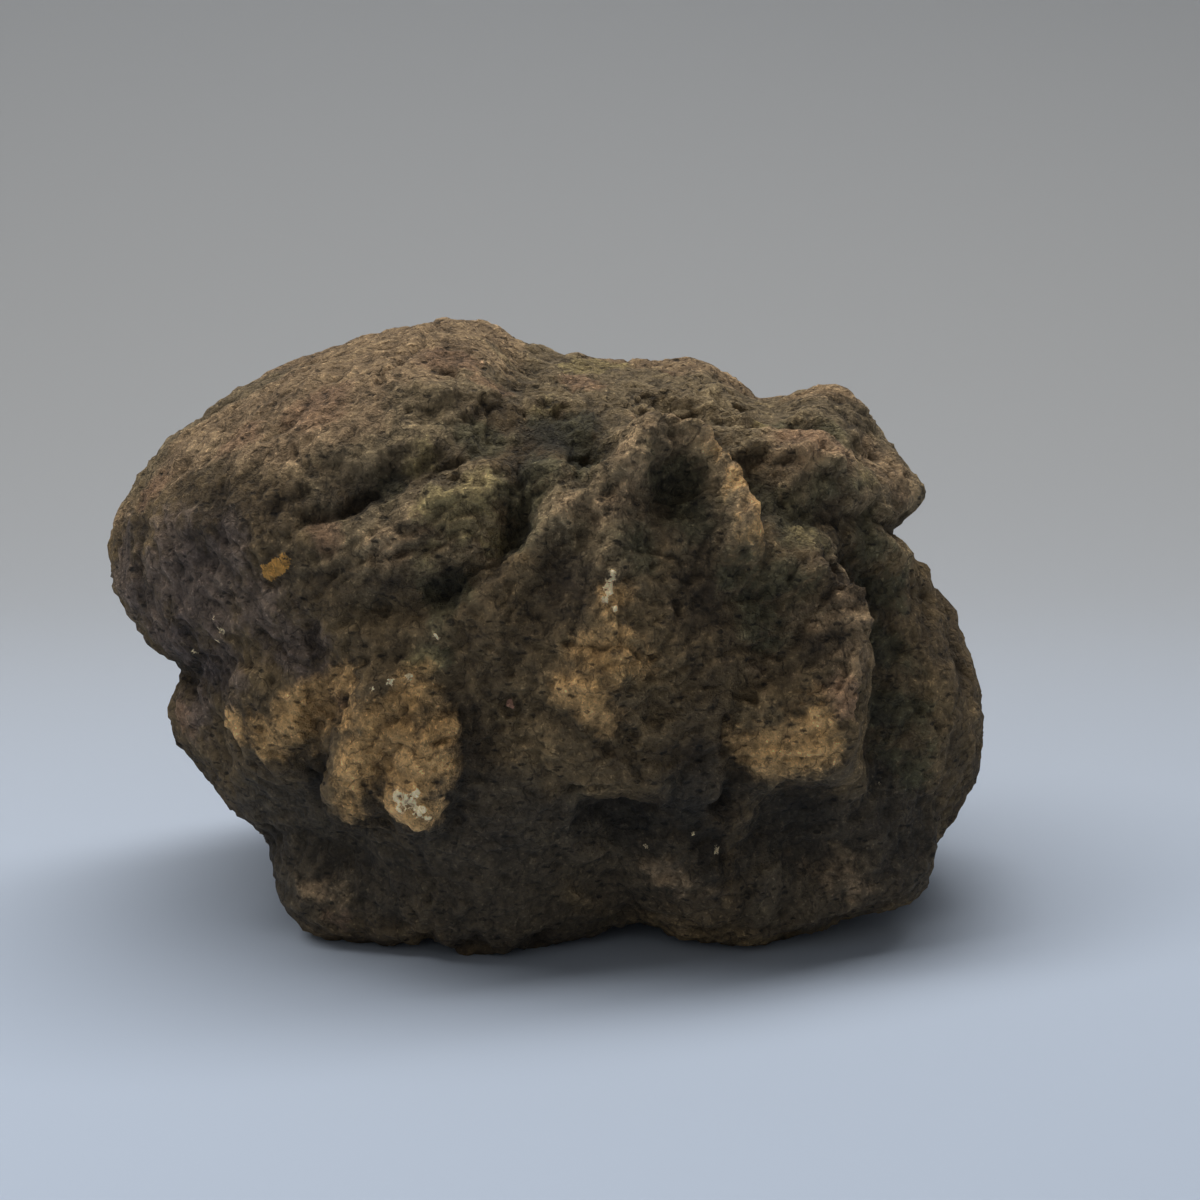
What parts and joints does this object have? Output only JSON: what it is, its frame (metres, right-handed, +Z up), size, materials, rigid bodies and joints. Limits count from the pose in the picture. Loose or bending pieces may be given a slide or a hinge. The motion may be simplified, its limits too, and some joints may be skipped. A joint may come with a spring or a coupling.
{
  "type": "whole geode",
  "caption": "Uncut knobbly geode with a rough pitted crust, ribs and hollows on its show side and worn flats under its lobes to rest on.",
  "frame": {"origin": "middle of the box's lower face, on the surface that the stone rests on", "axes": "+X to the right of the show side and along the stone's length, +Y to its back, +Z up"},
  "size_m": [0.1988, 0.1552, 0.1288],
  "materials": {
    "crust": "rough weathered crust, brown over grey, with ochre patches where it is rubbed and grey-green in the hollows"
  },
  "bodies": {
    "root": {"geode": "crust"}
  },
  "joints": []
}
